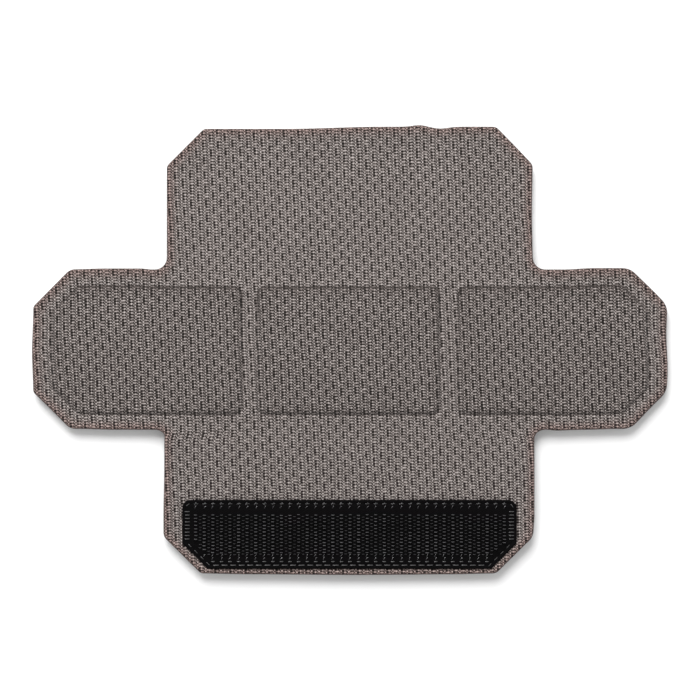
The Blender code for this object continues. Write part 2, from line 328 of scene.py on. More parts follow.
def side_cushion(side):
    """A side cushion's outline, with cut corners at its tip: side is 1 on the right and -1 on the left."""
    inner = SIDE_LOW.x - CUSHION_WALL
    outer = TIP_HIGH.x + CUSHION_WALL
    low = SIDE_LOW.y - CUSHION_WALL - PANEL_DROP
    high = SIDE_HIGH.y + CUSHION_WALL - PANEL_DROP
    cut_radius = 3.5 * MM if side > 0 else 1.5 * MM
    corners = [
        (inner, high, CUSHION_RADIUS),
        (outer - SIDE_CUT, high, cut_radius),
        (outer, high - SIDE_CUT, cut_radius),
        (outer, low + SIDE_CUT, cut_radius),
        (outer - SIDE_CUT, low, cut_radius),
        (inner, low, CUSHION_RADIUS),
    ]
    if side > 0:
        return corners
    return [(-x, y, radius) for x, y, radius in reversed(corners)]


CUSHIONS = {"left": side_cushion(-1), "middle": middle_cushion(), "right": side_cushion(1)}


def tape_half(end):
    """The tape's right half from top to bottom, with its end so far out."""
    return [
        (end, TAPE_HIGH.y + TAPE_RAISE, TAPE_RADIUS),
        (end, TAPE_LOW.y + TAPE_CUT, TAPE_CUT_RADIUS),
        (end - TAPE_CUT, TAPE_LOW.y, TAPE_CUT_RADIUS),
    ]


TAPE = mirrored(tape_half(TAPE_HIGH.x), tape_half(TAPE_HIGH.x + TAPE_REACH))


# Fields over the flat cut


def smooth(value, low, high):
    t = np.clip((value - low) / (high - low), 0, 1)
    return t * t * (3 - 2 * t)


def bell(value, width):
    return np.exp(-((value / width) ** 2))


def depth_in(xy, outline):
    """How far each point lies inside a closed outline, below 0 outside it."""
    best = np.full(len(xy), np.inf)
    inside = np.zeros(len(xy), bool)
    for a, b in zip(outline, np.roll(outline, -1, axis=0)):
        edge = b - a
        t = np.clip(((xy - a) @ edge) / (edge @ edge), 0, 1)
        gap = xy - a - t[:, None] * edge
        best = np.minimum(best, (gap**2).sum(1))
        spans = (a[1] > xy[:, 1]) != (b[1] > xy[:, 1])
        if spans.any():
            across = a[0] + (xy[:, 1] - a[1]) * edge[0] / np.where(edge[1] == 0, 1, edge[1])
            inside ^= spans & (xy[:, 0] < across)
    return np.where(inside, 1, -1) * np.sqrt(best)


def swell(xy):
    """The slow unevenness of a soft sheet that lies loose."""
    x, y = xy.T / MM
    waves = np.sin(x / 17 + 0.6) * np.cos(y / 13 - 0.4) + 0.6 * np.sin(x / 9.5 - y / 11)
    return SWELL * (waves / 1.6)


def quarter_round(share):
    """A round edge: 0 and steep at 0, level at 1 and beyond."""
    return np.sqrt(1 - (1 - np.clip(share, 0, 1)) ** 2)


def cushion_lift(depth):
    """How far a cushion lifts the knit: a round shoulder, then a low dome."""
    return RAISE * quarter_round(depth / SHOULDER) + DOME * smooth(depth, SHOULDER, 5 * SHOULDER)


def knit_top(xy):
    """Height of the knit: flat, turned down at the rim, raised over the cushions, pressed under the tape."""
    rim = depth_in(xy, rounded(SHEET)) / RIM_WIDTH
    height = FACE_TOP - RIM_DROP * (1 - quarter_round(rim))
    flat = swell(xy) * np.clip(rim, 0, 1)
    for corners in CUSHIONS.values():
        depth = depth_in(xy, rounded(corners))
        height += cushion_lift(depth)
        height -= CREASE_DEPTH * bell(depth - CREASE_PLACE, CREASE_WIDTH)
        height += LIP * bell(depth + LIP_PLACE, LIP_WIDTH)
    under_tape = smooth(depth_in(xy, rounded(TAPE)), TAPE_PRESS_START, TAPE_PRESS_END)
    return height + flat * (1 - under_tape) - TAPE_PRESS * under_tape


def painted_crease_light(depth):
    """Painted shade in a cushion's pressed line, darkening the knit there; below 0 on the lip outside it,
    where it paints a highlight.
    """
    fading = smooth(depth, -0.35 * MM, 0.2 * MM) * np.exp(-np.maximum(depth, 0) / (1.5 * MM))
    line = 0.6 * fading + 0.65 * bell(depth - CREASE_PLACE, 0.4 * MM)
    return line - 0.35 * bell(depth + 0.8 * MM, 0.5 * MM)


def lining_bottom(xy):
    """Height of the lining's outer side, which turns up at the rim and where the seam pulls it in."""
    rim = np.clip(depth_in(xy, rounded(SHEET)) / RIM_WIDTH, 0, 1)
    seam = depth_in(xy, rounded(moved_in(TAPE, STITCH_INSET)))
    return LINING_ROUND * (1 - rim) ** 2 + SEAM_PULL * bell(seam, SEAM_PULL_WIDTH)


def curl(xy):
    """How far the cut's edges stand off whatever the pad lies on: more at the lower flap's right side."""
    x, y = xy.T / MM
    depth = np.clip(depth_in(xy, rounded(SHEET)), 0, CURL_WIDTH)
    share = 1 + smooth(x, 45, 67) * (0.5 * smooth(-y, 32, 45) - 0.5 * smooth(y, 32, 45))
    share -= 0.5 * smooth(x, 104, 116)
    return CURL * share * (1 - depth / CURL_WIDTH) ** 2


def flap_sides(x, y):
    """Shift along X: the lower flap is cut wider than even, the upper one a little hollow on its right."""
    left, right = smooth(-x, 20, 60), smooth(x, 20, 60)
    lower = right * 0.45 * (1 - smooth(-y, 60, 68)) - left * (0.95 + 0.3 * smooth(-y, 42, 60))
    upper = right * -0.4 * bell(y - 51, 15)
    return lower * smooth(-y, 29.6, 33) + upper * smooth(y, 29.6, 33)


def wing_tips(x, y):
    """Shift along X: the left tip bows outwards, the right one waves."""
    left = 0.2 - 0.48 * bell(y, 9)
    right = -0.24 * np.sin(y / 4)
    return np.where(x < 0, left, right) * smooth(np.abs(x), 96, 110)


def flap_ends(x, y):
    """Shift along Y: the top edge climbs to the right, with a pucker and a dip, and the bottom edge sags."""
    top = 0.8 * smooth(x, -24, 12) + 0.6 * bell(x - 25.5, 3.5) - 0.7 * bell(x - 33, 4)
    bottom = 0.3 * smooth(np.abs(x), 38, 55) - 0.3 * bell(x - 2, 26)
    return smooth(y, 52, 80) * top + smooth(-y, 52, 80) * bottom


def wing_sides(x, y):
    """Shift along Y of the wings' long edges."""
    top = 0.4 * smooth(-x, 72, 76) * (1 - 0.7 * smooth(-x, 90, 100)) + 0.55 * smooth(x, 78, 90)
    bottom = 0.3 * smooth(np.abs(x), 87, 98) - 0.5 * bell(x - 72, 8)
    return smooth(np.abs(x), 71.8, 77) * (smooth(y, 5, 27) * top + smooth(-y, 5, 27) * bottom)


def wander(xy):
    """Moves points as the uneven cut does: none across a fold line, so that the folds stay true."""
    x, y = xy.T / MM
    band = 1 - smooth(np.abs(y), 29.6, 33)
    dx = flap_sides(x, y) + wing_tips(x, y) * band
    dy = flap_ends(x, y) + wing_sides(x, y) * band
    return xy + np.column_stack([dx, dy]) * MM


# The flat cut's triangles


class Cut:
    """Points and edges that the triangulation has to keep."""

    def __init__(self):
        self.points = []
        self.edges = []

    def loop(self, corners, step=LOOP_STEP):
        points = resampled(rounded(corners), step)
        first = len(self.points)
        self.points += [Vector(p) / MM for p in points]
        self.edges += [(first + i, first + (i + 1) % len(points)) for i in range(len(points))]

    def line(self, start, end):
        start, end = np.array(start), np.array(end)
        count = math.ceil(np.linalg.norm(end - start) / GRID)
        first = len(self.points)
        self.points += [Vector(start + (end - start) * i / count) / MM for i in range(count + 1)]
        self.edges += [(first + i, first + i + 1) for i in range(count)]


def grid_points(kept):
    """A grid over the cut, with closer rows in the fold strips, left out close to any kept point."""
    tree = kdtree.KDTree(len(kept))
    for i, point in enumerate(kept):
        tree.insert((point.x, point.y, 0), i)
    tree.balance()
    rows = set(np.arange(SHEET_LOW.y, SHEET_HIGH.y, GRID))
    for middle, half in (
        (UPPER_FOLD_Y, UPPER_HALF_STRIP),
        (UPPER_TURN_Y, UPPER_HALF_STRIP),
        (LOWER_FOLD_Y, LOWER_HALF_STRIP),
        (LOWER_TURN_Y, LOWER_HALF_STRIP),
    ):
        rows = {y for y in rows if abs(y - middle) > half + ROW_ROOM * GRID}
        rows |= set(np.linspace(middle - half, middle + half, STRIP_ROWS)[1:-1])
    found = []
    for i, y in enumerate(sorted(rows)):
        for x in np.arange(SHEET_LOW.x + (i % 2) * GRID / 2, SHEET_HIGH.x, GRID):
            _, _, gap = tree.find((x / MM, y / MM, 0))
            in_strip = not (BAND_BOTTOM < y < BAND_TOP) and abs(y) < abs(LOWER_TURN_Y) + LOWER_HALF_STRIP
            if gap * MM > CLEARANCE * GRID * (STRIP_CLEARANCE if in_strip else 1):
                found.append(Vector((x, y)) / MM)
    return found


def triangulated():
    """The points of the whole cut, and its triangles, which turn to the left."""
    cut = Cut()
    for inset in SHEET_RINGS:
        cut.loop(moved_in(SHEET, inset * MM))
    for corners in CUSHIONS.values():
        for inset in CUSHION_RINGS:
            cut.loop(moved_in(corners, inset * MM))
    for inset in UNDER_TAPE_RINGS:
        cut.loop(moved_in(TAPE, inset * MM))
    tangent = FLAP_HIGH.x + INNER_RADIUS
    beyond = FLAP_HIGH.x + GRID
    for y, reach in (
        (BAND_TOP, tangent),
        (UPPER_SEAM_Y, beyond),
        (BAND_BOTTOM, tangent),
        (LOWER_SEAM_Y, beyond),
    ):
        cut.line((-reach, y), (reach, y))
    for x in (-WING_SEAM_X, WING_SEAM_X):
        cut.line((x, BAND_BOTTOM - GRID), (x, BAND_TOP + GRID))
    points = cut.points + grid_points(cut.points)
    places, _, faces, *_ = delaunay_2d_cdt(points, cut.edges, [], 0, CDT_TOLERANCE)
    xy = np.array([tuple(p) for p in places]) * MM
    faces = np.array(faces)
    a, b, c = (xy[faces[:, i]] for i in range(3))
    area = (b[:, 0] - a[:, 0]) * (c[:, 1] - a[:, 1]) - (b[:, 1] - a[:, 1]) * (c[:, 0] - a[:, 0])
    faces[area < 0] = faces[area < 0][:, ::-1]
    inside = depth_in((a + b + c) / 3, resampled(rounded(SHEET), LOOP_STEP)) > 0
    return xy, faces[inside & (np.abs(area) > SMALLEST_AREA)]


# Meshes


def to_object(mesh, material):
    """A piece of the scene, named like its mesh."""
    mesh.materials.append(material)
    piece = bpy.data.objects.new(mesh.name, mesh)
    bpy.context.scene.collection.objects.link(piece)
    return piece


def make_mesh(name, points, faces, cloth, **fields):
    """A smooth mesh that follows the curl, with the cut's coordinates in its UV map."""
    mesh = bpy.data.meshes.new(name)
    points = np.array([tuple(p) for p in points])
    points[:, 2] += curl(points[:, :2])
    mesh.from_pydata([tuple(p) for p in points], [], [tuple(int(i) for i in f) for f in faces])
    corners = np.zeros(len(mesh.loops), int)
    mesh.loops.foreach_get("vertex_index", corners)
    uv = mesh.uv_layers.new(name="cloth")
    uv.data.foreach_set("uv", np.asarray(cloth)[corners].astype(np.float32).ravel())
    for field, values in fields.items():
        attribute = mesh.attributes.new(field, "FLOAT", "POINT")
        attribute.data.foreach_set("value", np.asarray(values).astype(np.float32))
    mesh.polygons.foreach_set("use_smooth", [True] * len(mesh.polygons))
    mesh.set_sharp_from_angle(angle=SHARP_TURN)
    return mesh


def slab(name, xy, faces, top, bottom, placed, **fields):
    """A closed sheet between two heights over some of the cut's triangles."""
    used, flat = np.unique(faces, return_inverse=True)
    flat = flat.reshape(faces.shape)
    count = len(used)
    upper = np.column_stack([placed[used], top[used]])
    lower = np.column_stack([placed[used], bottom[used]])
    edges = np.concatenate([flat[:, [0, 1]], flat[:, [1, 2]], flat[:, [2, 0]]])
    known = {tuple(edge) for edge in edges}
    rim = [edge for edge in edges if (edge[1], edge[0]) not in known]
    shapes = [tuple(f) for f in flat] + [tuple(f[::-1] + count) for f in flat]
    shapes += [(b, a, a + count, b + count) for a, b in rim]
    cloth = np.concatenate([xy[used], xy[used]]) / MM
    under = np.ones(count)
    doubled = {key: np.concatenate([values[used], under]) for key, values in fields.items()}
    return make_mesh(name, np.concatenate([upper, lower]), shapes, cloth, **doubled)


def tube(path, radius, sides=6, ends=0.55):
    """Rings round a path, closed and narrowed at both ends. Gives its points and faces."""
    path = [Vector(p) for p in path]
    points, faces = [], []
    last = len(path) - 1
    for i, place in enumerate(path):
        along = (path[min(i + 1, last)] - path[max(i - 1, 0)]).normalized()
        side = along.orthogonal() if abs(along.z) > 0.999 else along.cross(Vector((0, 0, 1)))
        side.normalize()
        up = side.cross(along).normalized()
        size = radius * (ends if i in (0, last) else 1)
        for k in range(sides):
            angle = math.tau * k / sides
            points.append(place + side * size * math.cos(angle) + up * size * math.sin(angle))
    for i in range(last):
        for k in range(sides):
            a, b = i * sides + k, i * sides + (k + 1) % sides
            faces.append((a, b, b + sides, a + sides))
    faces.append(tuple(reversed(range(sides))))
    faces.append(tuple(range(last * sides, (last + 1) * sides)))
    return points, faces


def joined(name, parts):
    """One mesh of many small closed bodies."""
    points, faces = [], []
    for more, shapes in parts:
        first = len(points)
        points += more
        faces += [tuple(first + i for i in face) for face in shapes]
    mesh = make_mesh(name, points, faces, [(p.x / MM, p.y / MM) for p in points])
    fixed = bmesh.new()
    fixed.from_mesh(mesh)
    bmesh.ops.recalc_face_normals(fixed, faces=fixed.faces)
    fixed.to_mesh(mesh)
    fixed.free()
    return mesh


# Materials


class Field:
    """A number that varies over a surface, written as arithmetic on shader nodes."""

    def __init__(self, tree, source):
        self.tree = tree
        self.source = source

    def node(self, operation, *others):
        node = self.tree.nodes.new("ShaderNodeMath")
        node.operation = operation
        for socket, value in zip(node.inputs, (self, *others)):
            if isinstance(value, Field):
                self.tree.links.new(value.source, socket)
            else:
                socket.default_value = value
        return Field(self.tree, node.outputs[0])

    def __add__(self, other):
        return self.node("ADD", other)

    def __sub__(self, other):
        return self.node("SUBTRACT", other)

    def __mul__(self, other):
        return self.node("MULTIPLY", other)

    def __truediv__(self, other):
        return self.node("DIVIDE", other)

    def fract(self):
        return self.node("FRACT")

    def floor(self):
        return self.node("FLOOR")

    def sine(self):
        return self.node("SINE")

    def smooth(self, low, high):
        """From 0 at low to 1 at high."""
        node = self.tree.nodes.new("ShaderNodeMapRange")
        node.interpolation_type = "SMOOTHSTEP"
        self.tree.links.new(self.source, node.inputs["Value"])
        node.inputs["From Min"].default_value = min(low, high)
        node.inputs["From Max"].default_value = max(low, high)
        node.inputs["To Min"].default_value = 0 if low < high else 1
        node.inputs["To Max"].default_value = 1 if low < high else 0
        return Field(self.tree, node.outputs["Result"])


class Finish:
    """A node material under construction: its shader, the cut's coordinates in mm, noise and colour."""

    def __init__(self, name, roughness, sheen=0.0, specular=0.5):
        self.material = bpy.data.materials.new(name)
        self.material.use_nodes = True
        self.tree = self.material.node_tree
        self.shader = self.tree.nodes["Principled BSDF"]
        self.shader.inputs["Roughness"].default_value = roughness
        self.shader.inputs["Sheen Weight"].default_value = sheen
        self.shader.inputs["Sheen Roughness"].default_value = 0.5
        self.shader.inputs["Specular IOR Level"].default_value = specular
        self.cloth = self.tree.nodes.new("ShaderNodeUVMap")
        self.cloth.uv_map = "cloth"
        split = self.tree.nodes.new("ShaderNodeSeparateXYZ")
        self.tree.links.new(self.cloth.outputs["UV"], split.inputs[0])
        self.x = Field(self.tree, split.outputs["X"])
        self.y = Field(self.tree, split.outputs["Y"])

    def noise(self, scale, detail=2.0, distortion=0.0):
        """Noise from 0 to 1, at so many lumps to the mm."""
        node = self.tree.nodes.new("ShaderNodeTexNoise")
        node.inputs["Scale"].default_value = scale
        node.inputs["Detail"].default_value = detail
        node.inputs["Distortion"].default_value = distortion
        self.tree.links.new(self.cloth.outputs["UV"], node.inputs["Vector"])
        return Field(self.tree, node.outputs["Fac"])

    def attribute(self, name):
        node = self.tree.nodes.new("ShaderNodeAttribute")
        node.attribute_name = name
        return Field(self.tree, node.outputs["Fac"])

    def colour(self, field, stops, tint=None):
        """A colour ramp over the field, with a tint that another field mixes in."""
        ramp = self.tree.nodes.new("ShaderNodeValToRGB")
        elements = ramp.color_ramp.elements
        while len(elements) < len(stops):
            elements.new(0.5)
        for element, (place, rgb) in zip(elements, stops):
            element.position = place
            element.color = (*rgb, 1)
        self.tree.links.new(field.source, ramp.inputs["Fac"])
        if tint is None:
            self.tree.links.new(ramp.outputs["Color"], self.shader.inputs["Base Color"])
            return
        share, rgb = tint
        mix = self.tree.nodes.new("ShaderNodeMix")
        mix.data_type = "RGBA"
        mix.blend_type = "MULTIPLY"
        self.tree.links.new(share.source, mix.inputs["Factor"])
        self.tree.links.new(ramp.outputs["Color"], mix.inputs["A"])
        mix.inputs["B"].default_value = (*rgb, 1)
        self.tree.links.new(mix.outputs["Result"], self.shader.inputs["Base Color"])

    def roughness(self, field):
        self.tree.links.new(field.source, self.shader.inputs["Roughness"])

    def bump(self, field, height, strength):
        """Relief of so many metres from the field's 0 to its 1."""
        node = self.tree.nodes.new("ShaderNodeBump")
        node.inputs["Strength"].default_value = strength
        node.inputs["Distance"].default_value = height
        self.tree.links.new(field.source, node.inputs["Height"])
        self.tree.links.new(node.outputs["Normal"], self.shader.inputs["Normal"])


def dots(across, along, half_width, half_height):
    """Soft spots in a lattice, from offsets in mm."""
    dx = across / half_width
    dy = along / half_height
    return (dx * dx + dy * dy).smooth(1.5, 0.05)


def knit_finish():
    """Open warp knit: rows of small holes, darker in staggered groups, between lighter loops."""
    finish = Finish("open_knit", 0.9, sheen=0.15, specular=0.2)
    sway = (finish.noise(0.06) - 0.5) * 1.2
    u = finish.x * math.cos(KNIT_TILT) + finish.y * math.sin(KNIT_TILT) + sway
    v = finish.y * math.cos(KNIT_TILT) - finish.x * math.sin(KNIT_TILT)
    v = v + (finish.noise(0.35) - 0.5) * 0.7
    wale = u / WALE
    number = wale.floor()
    across = (wale.fract() - 0.5) * WALE
    course = v / COURSE + number * COURSE_STEP
    along = (course.fract() - 0.5) * COURSE
    between = ((wale + 0.5).fract() - 0.5) * WALE
    between_along = ((course + 0.5).fract() - 0.5) * COURSE
    left = ((wale + LOOP_SHIFT).fract() - 0.5) * WALE
    right = ((wale - LOOP_SHIFT).fract() - 0.5) * WALE
    group = (((v / REPEAT + number * 0.5) * math.tau).sine() + 0.2).smooth(-0.8, 0.9)
    holes = dots(across, along, 0.50, 0.34) * (group * 0.85 + 0.15)
    gutter = (across * across).smooth(0.40, 0.0) * group
    small = dots(between, along, 0.42, 0.33)
    loops = dots(left, along, 0.36, 0.30) + dots(right, between_along, 0.36, 0.30)
    loops = loops + dots(between, between_along, 0.34, 0.25) * 0.8
    loops = loops + dots(across, between_along, 0.38, 0.26) * (group * -0.5 + 0.75)
    uneven = (finish.noise(1.3, 3, 0.8) - 0.5) * 1.15
    tone = loops * 0.62 - holes * 0.74 - gutter * 0.14 - small * 0.46 + uneven + 0.31
    # Painted shade in the cushions' creases, and a painted highlight on the lips outside them
    tone = tone * (finish.attribute("crease") * -0.34 + 1)
    tone = tone + (tone * 0.12 - 0.128) * finish.attribute("raised") + (finish.noise(0.05) - 0.5) * 0.08
    rim = finish.attribute("rim")
    # Tone along the cut's outermost half millimetre: darker and patchier
    cut_edge_tone = tone + (finish.noise(1.6, 3) * 0.5 + 0.06 - tone) * rim
    finish.colour(
        cut_edge_tone,
        [
            (0.0, (0.005, 0.003, 0.002)),
            (0.30, (0.072, 0.059, 0.054)),
            (0.62, (0.205, 0.177, 0.167)),
            (1.0, (0.440, 0.399, 0.381)),
        ],
        (finish.attribute("edge"), (0.94, 0.78, 0.755)),
    )
    relief = (loops * 0.5 - holes * 0.9 - small * 0.5) * (rim * -0.85 + 1)
    finish.bump(relief, 0.30 * MM, 0.5)
    return finish.material


def foam_finish():
    """Fine closed-cell foam, as it shows along the cut edge."""
    finish = Finish("closed_cell_foam", 0.95, specular=0.25)
    cells = finish.noise(3.0, 3)
    finish.colour(cells, [(0.3, (0.028, 0.026, 0.025)), (0.7, (0.075, 0.071, 0.069))])
    finish.bump(cells, 0.12 * MM, 0.8)
    return finish.material


def lining_finish():
    """Brushed loop fabric: short raised loops over faint ribs."""
    finish = Finish("brushed_loop", 0.95, sheen=0.35, specular=0.15)
    ribs = ((finish.x + (finish.noise(0.3) - 0.5) * 0.9) * (math.tau / 1.3)).sine() * 0.5 + 0.5
    loops = finish.noise(1.25, 4, 1.4)
    patches = finish.noise(0.045, 2)
    tone = (loops - 0.5) * 1.7 + ribs * 0.20 + (patches - 0.5) * 0.22 + 0.40
    finish.colour(
        tone,
        [(0.1, (0.030, 0.026, 0.024)), (0.5, (0.105, 0.092, 0.086)), (0.95, (0.250, 0.222, 0.210))],
    )
    finish.bump(tone, 0.40 * MM, 0.9)
    return finish.material


def tape_finish():
    """Woven black nylon: fine ribs along the tape, crossed by the warp."""
    finish = Finish("woven_tape", 0.6, specular=0.02)
    weft = (finish.y * (math.tau / 0.42)).sine() * 0.5 + 0.5
    warp = (finish.x * (math.tau / 0.52) + finish.y * (math.tau / 0.84)).sine() * 0.5 + 0.5
    weave = weft * warp * 0.8 + finish.noise(0.8, 3) * 0.2
    finish.colour(weave, [(0.0, (0.0005, 0.0005, 0.0005)), (1.0, (0.0075, 0.007, 0.0075))])
    finish.bump(weave, 0.10 * MM, 0.7)
    return finish.material


def hook_finish():
    """Bent nylon wire, a little duller where it has been pressed and rubbed."""
    finish = Finish("hook_wire", 0.2, specular=1.0)
    rubbed = finish.noise(0.12, 3)
    finish.colour(rubbed, [(0.3, (0.025, 0.024, 0.026)), (0.8, (0.080, 0.078, 0.082))])
    finish.roughness(rubbed * 0.25 + 0.10)
    finish.bump(finish.noise(4.0), 0.02 * MM, 0.5)
    return finish.material


def thread_finish():
    """Twisted black polyester thread."""
    finish = Finish("twisted_thread", 0.32, sheen=0.1, specular=1.0)
    twist = ((finish.x + finish.y) * (math.tau / 0.28)).sine() * 0.5 + 0.5
    finish.colour(twist, [(0.0, (0.012, 0.012, 0.012)), (1.0, (0.075, 0.072, 0.073))])
    finish.bump(twist, 0.06 * MM, 0.8)
    return finish.material


KNIT = knit_finish()
FOAM = foam_finish()
LINING = lining_finish()
WEAVE = tape_finish()
HOOK = hook_finish()
THREAD = thread_finish()


# The laminate, piece by piece


CUT_XY, CUT_FACES = triangulated()
CENTRES = CUT_XY[CUT_FACES].mean(1)
PLACED = wander(CUT_XY)
EDGE_DEPTH = depth_in(CUT_XY, rounded(SHEET))
INSIDE = [depth_in(CUT_XY, rounded(corners)) for corners in CUSHIONS.values()]

# Heights of the knit, of the lining, of the core between them and of the pads between core and knit
KNIT_HIGH = knit_top(CUT_XY)
KNIT_LOW = KNIT_HIGH - KNIT_THICKNESS
BASE = KNIT_LOW - sum(cushion_lift(depth) for depth in INSIDE)
LINING_LOW = lining_bottom(CUT_XY)
LINING_HIGH = LINING_LOW + LINING_TOP - LINING_GAP
CORE_LOW = LINING_HIGH + SNUG
CORE_HIGH = BASE - SNUG
PAD_LOW = BASE + SNUG
PAD_HIGH = KNIT_LOW - SNUG

# What the knit's finish reads at each point: on a cushion, the painted shade in its crease (more so above
# it, the side the light comes from) with a painted highlight on the lip outside, and at the cut
CREASE_SHADE_WEIGHT = 0.55 + 1.1 * smooth(CUT_XY[:, 1], 10 * MM, 23 * MM)
SHARES = {
    "raised": sum(smooth(depth, -0.2 * MM, 1.2 * MM) for depth in INSIDE),
    # painted shade in the cushions' creases and a painted highlight on the lips outside them
    "crease": sum(painted_crease_light(depth) for depth in INSIDE) * CREASE_SHADE_WEIGHT,
    "rim": 1 - smooth(EDGE_DEPTH, 0.1 * MM, 0.6 * MM),
    "edge": 1 - smooth(EDGE_DEPTH, 0.2 * MM, 4.2 * MM),
}

BODIES = ["centre", "upper_fold", "upper_flap", "lower_fold", "lower_flap", "left_wing", "right_wing"]
BENDS = {
    "upper_fold": ("centre", (0, BAND_TOP, 0), (0, UPPER_SEAM_Y, 0)),
    "upper_flap": ("upper_fold", (0, UPPER_SEAM_Y, 0), (0, UPPER_TURN_Y + UPPER_HALF_STRIP, 0)),
    "lower_fold": ("centre", (0, BAND_BOTTOM, 0), (0, LOWER_FOLD_Y - LOWER_HALF_STRIP, 0)),
    "lower_flap": (
        "lower_fold",
        (0, LOWER_TURN_Y + LOWER_HALF_STRIP, 0),
        (0, LOWER_TURN_Y - LOWER_HALF_STRIP, 0),
    ),
    "left_wing": ("centre", (-WING_SEAM_X, 0, 0), (-WING_BEND_X - WING_HALF_STRIP, 0, 0)),
    "right_wing": ("centre", (WING_SEAM_X, 0, 0), (WING_BEND_X + WING_HALF_STRIP, 0, 0)),
}


def belongs(body, places):
    """Which of the places lie on the part of the cut that moves with a body."""
    x, y = places.T
    in_band = (y > BAND_BOTTOM) & (y < BAND_TOP)
    if body == "centre":
        return in_band & (np.abs(x) < WING_SEAM_X)
    if body == "upper_fold":
        return (y > BAND_TOP) & (y < UPPER_SEAM_Y)
    if body == "upper_flap":
        return y > UPPER_SEAM_Y
    if body == "lower_fold":
        return (y < BAND_BOTTOM) & (y > LOWER_SEAM_Y)
    if body == "lower_flap":
        return y < LOWER_SEAM_Y
    side = -1 if body == "left_wing" else 1
    return in_band & (side * x > WING_SEAM_X)


def settle(piece, body):
    """Bakes a fold strip's or flap's piece into place where it lies, or lets it ride on the centre."""
    if body in BENDS:
        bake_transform(piece)
    else:
        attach(piece, body)


def flat_size(faces):
    """The cut's width, length and area under some triangles."""
    corners = CUT_XY[faces]
    size = corners.max((0, 1)) - corners.min((0, 1))
    a, b = corners[:, 1] - corners[:, 0], corners[:, 2] - corners[:, 0]
    return tuple(size), float(np.abs(a[:, 0] * b[:, 1] - a[:, 1] * b[:, 0]).sum() / 2)


def laminate(body):
    """One part of the pad: its knit, its lining, and the foam core between them."""
    mine = CUT_FACES[belongs(body, CENTRES)]
    inner = mine[(EDGE_DEPTH[mine] > CORE_INSET).all(1)]
    knit_mesh = slab(f"knit_{body}", CUT_XY, mine, KNIT_HIGH, KNIT_LOW, PLACED, **SHARES)
    backing_mesh = slab(f"backing_{body}", CUT_XY, mine, LINING_HIGH, LINING_LOW, PLACED)
    core_mesh = slab(f"core_{body}", CUT_XY, inner, CORE_HIGH, CORE_LOW, PLACED)
    knit = to_object(knit_mesh, KNIT)
    backing = to_object(backing_mesh, LINING)
    core = to_object(core_mesh, FOAM)
    for piece, node in ((knit, "face"), (backing, "lining"), (core, "foam")):
        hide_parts(f"{node}_{body}")
        settle(piece, body)
    if body.endswith("fold"):
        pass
    else:
        size, area = flat_size(mine)


def cushion_pad(name, body):
    """The part of a cushion's pad that lies on a body, where there is one."""
    inside = (depth_in(CUT_XY, rounded(CUSHIONS[name])) > PAD_INSET)[CUT_FACES].all(1)
    mine = CUT_FACES[inside & belongs(body, CENTRES)]
    if not len(mine):
        return
    where = name if body == "centre" else f"{name}_wing"
    pad = to_object(slab(f"pad_{where}", CUT_XY, mine, PAD_HIGH, PAD_LOW, PLACED), FOAM)
    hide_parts(f"cushion_{where}")
    settle(pad, body)


for body in BODIES:
    laminate(body)
for name in CUSHIONS:
    for body in ("centre", "left_wing", "right_wing"):
        cushion_pad(name, body)


# Hook tape and its sewing

TAPE_BOTTOM_Z = FACE_TOP - TAPE_PRESS + SNUG
TAPE_TOP_Z = TAPE_BOTTOM_Z + TAPE_THICKNESS


def tape_base():
    """The woven strip: a rounded edge, a groove where the needle goes, and faint ribs in the field."""
    cut = Cut()
    for inset in TAPE_RINGS:
        cut.loop(moved_in(TAPE, inset * MM), TAPE_LOOP_STEP)
    outline = rounded(moved_in(TAPE, TAPE_FIELD_INSET))
    across = np.arange(TAPE_LOW.x, TAPE_HIGH.x, HOOK_PITCH / 2)
    up = np.arange(TAPE_LOW.y, TAPE_HIGH.y, ROW_PITCH / 2)
    places = np.array([(x, y) for y in up for x in across])
    places = places[depth_in(places, outline) > 0.1 * MM]
    points = cut.points + [Vector(p) / MM for p in places]
    found, _, faces, *_ = delaunay_2d_cdt(points, cut.edges, [], 1, CDT_TOLERANCE)
    xy = np.array([tuple(p) for p in found]) * MM
    faces = np.array(faces)
    depth = depth_in(xy, rounded(TAPE))
    top = TAPE_TOP_Z - TAPE_ROUND * (1 - quarter_round(depth / TAPE_ROUND))
    top -= GROOVE_DEPTH * bell(depth - STITCH_INSET, GROOVE_WIDTH)
    ribs = 0.5 + 0.5 * np.cos(math.tau * (xy[:, 1] - TAPE_LOW.y) / ROW_PITCH)
    top += RIB_HEIGHT * ribs * smooth(depth, 2.6 * MM, 4.2 * MM)
    low = np.full(len(xy), TAPE_BOTTOM_Z)
    return slab("hook_tape_base", xy, faces, top, low, xy)


def along_outline(points, pitch, start=0.5):
    """Evenly spaced places and directions round a closed outline."""
    steps = np.linalg.norm(np.roll(points, -1, axis=0) - points, axis=1)
    total = steps.sum()
    count = round(total / pitch)
    ends = np.concatenate([[0], np.cumsum(steps)])
    closed = np.concatenate([points, points[:1]])
    found = []
    for i in range(count):
        place = (i + start) * total / count
        k = min(np.searchsorted(ends, place, side="right") - 1, len(points) - 1)
        along = (closed[k + 1] - closed[k]) / max(steps[k], 1e-9)
        found.append((closed[k] + along * (place - ends[k]), along))
    return found


def stitch(place, along, length, z, side=1, radius=0.19 * MM, rise=0.16 * MM):
    """One visible run of thread, which dips into the cloth at both ends."""
    path = []
    for i in range(7):
        t = i / 6
        x, y = place + along * (t - 0.5) * length
        arch = math.sin(math.pi * t)
        lift = rise * arch - STITCH_DIP * (1 - arch)
        path.append((x, y, z + side * lift))
    return tube(path, radius, 6)


